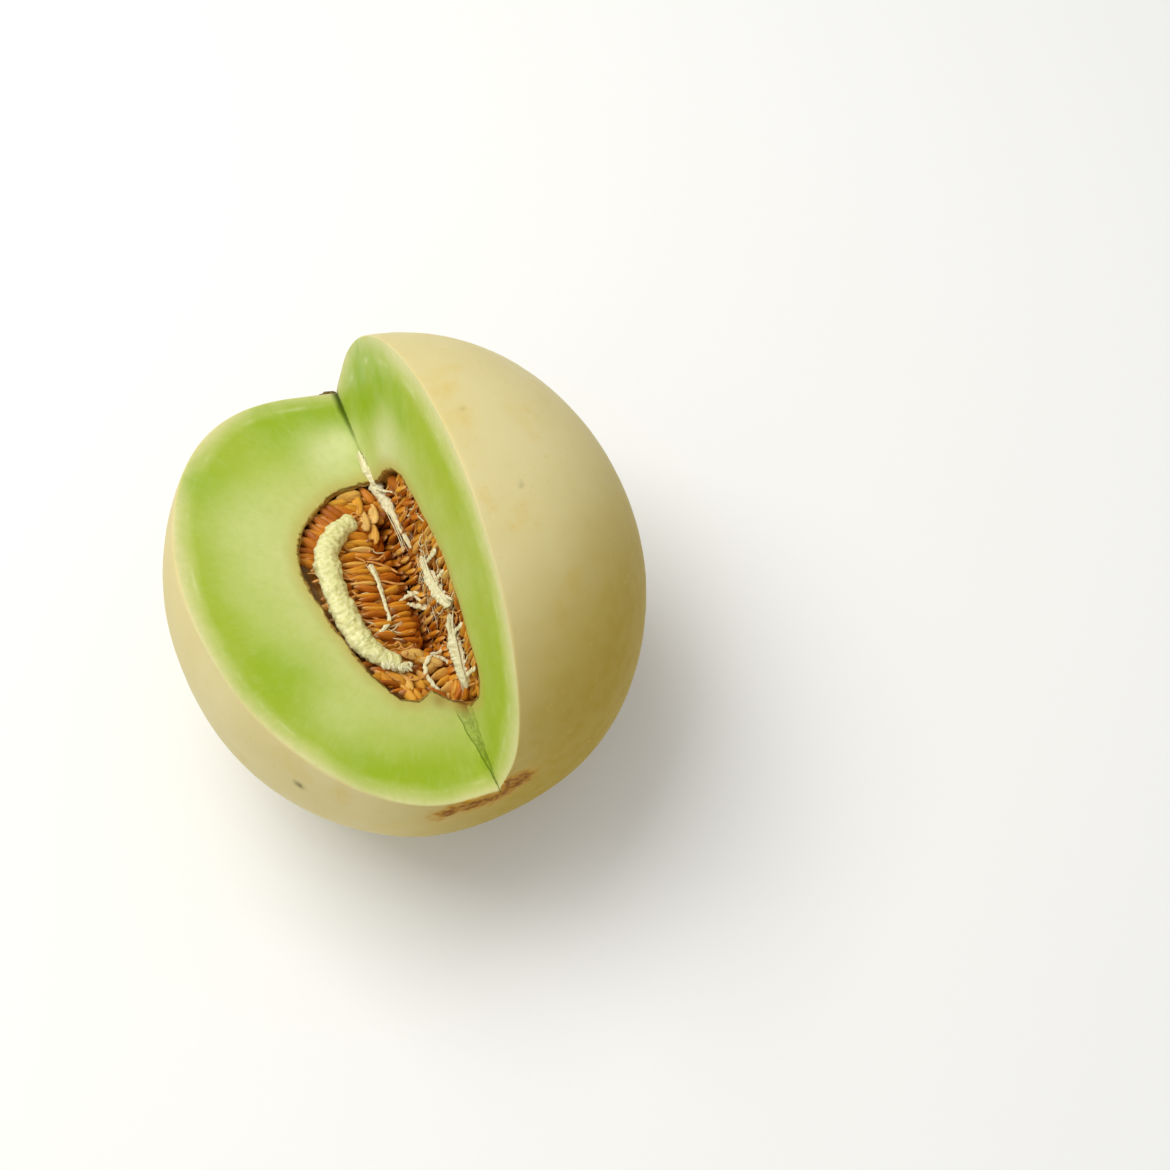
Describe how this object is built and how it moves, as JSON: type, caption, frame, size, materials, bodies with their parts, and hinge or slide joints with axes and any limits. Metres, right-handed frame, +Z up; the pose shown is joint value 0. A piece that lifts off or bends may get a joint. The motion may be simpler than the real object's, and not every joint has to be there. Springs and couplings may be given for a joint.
{
  "type": "honeydew melon",
  "caption": "Honeydew melon with a long wedge cut out, showing its cream rind, green flesh, seed cavity, orange seeds and pale placental strand.",
  "frame": {"origin": "on the surface the melon rests on, below the middle of its bounding box", "axes": "+Z up, +Y along the fruit from the blossom end to the stem end, +X to the right, with the notch opening up and to the left"},
  "size_m": [0.1714, 0.174, 0.1686],
  "materials": {
    "rind_and_flesh": "smooth cream rind outside, moist green flesh on the cuts",
    "seeds": "wet orange brown",
    "placenta": "soft and moist, pale yellow green",
    "fibres": "wet, nearly white"
  },
  "bodies": {
    "root": {"melon": "rind_and_flesh", "seed_bed_left": "seeds", "seed_bed_right": "seeds", "placenta_strand": "placenta", "side_fibre": "fibres", "cut_line_fibre": "fibres", "upper_fibre": "fibres", "lower_fibre": "fibres"}
  },
  "joints": []
}
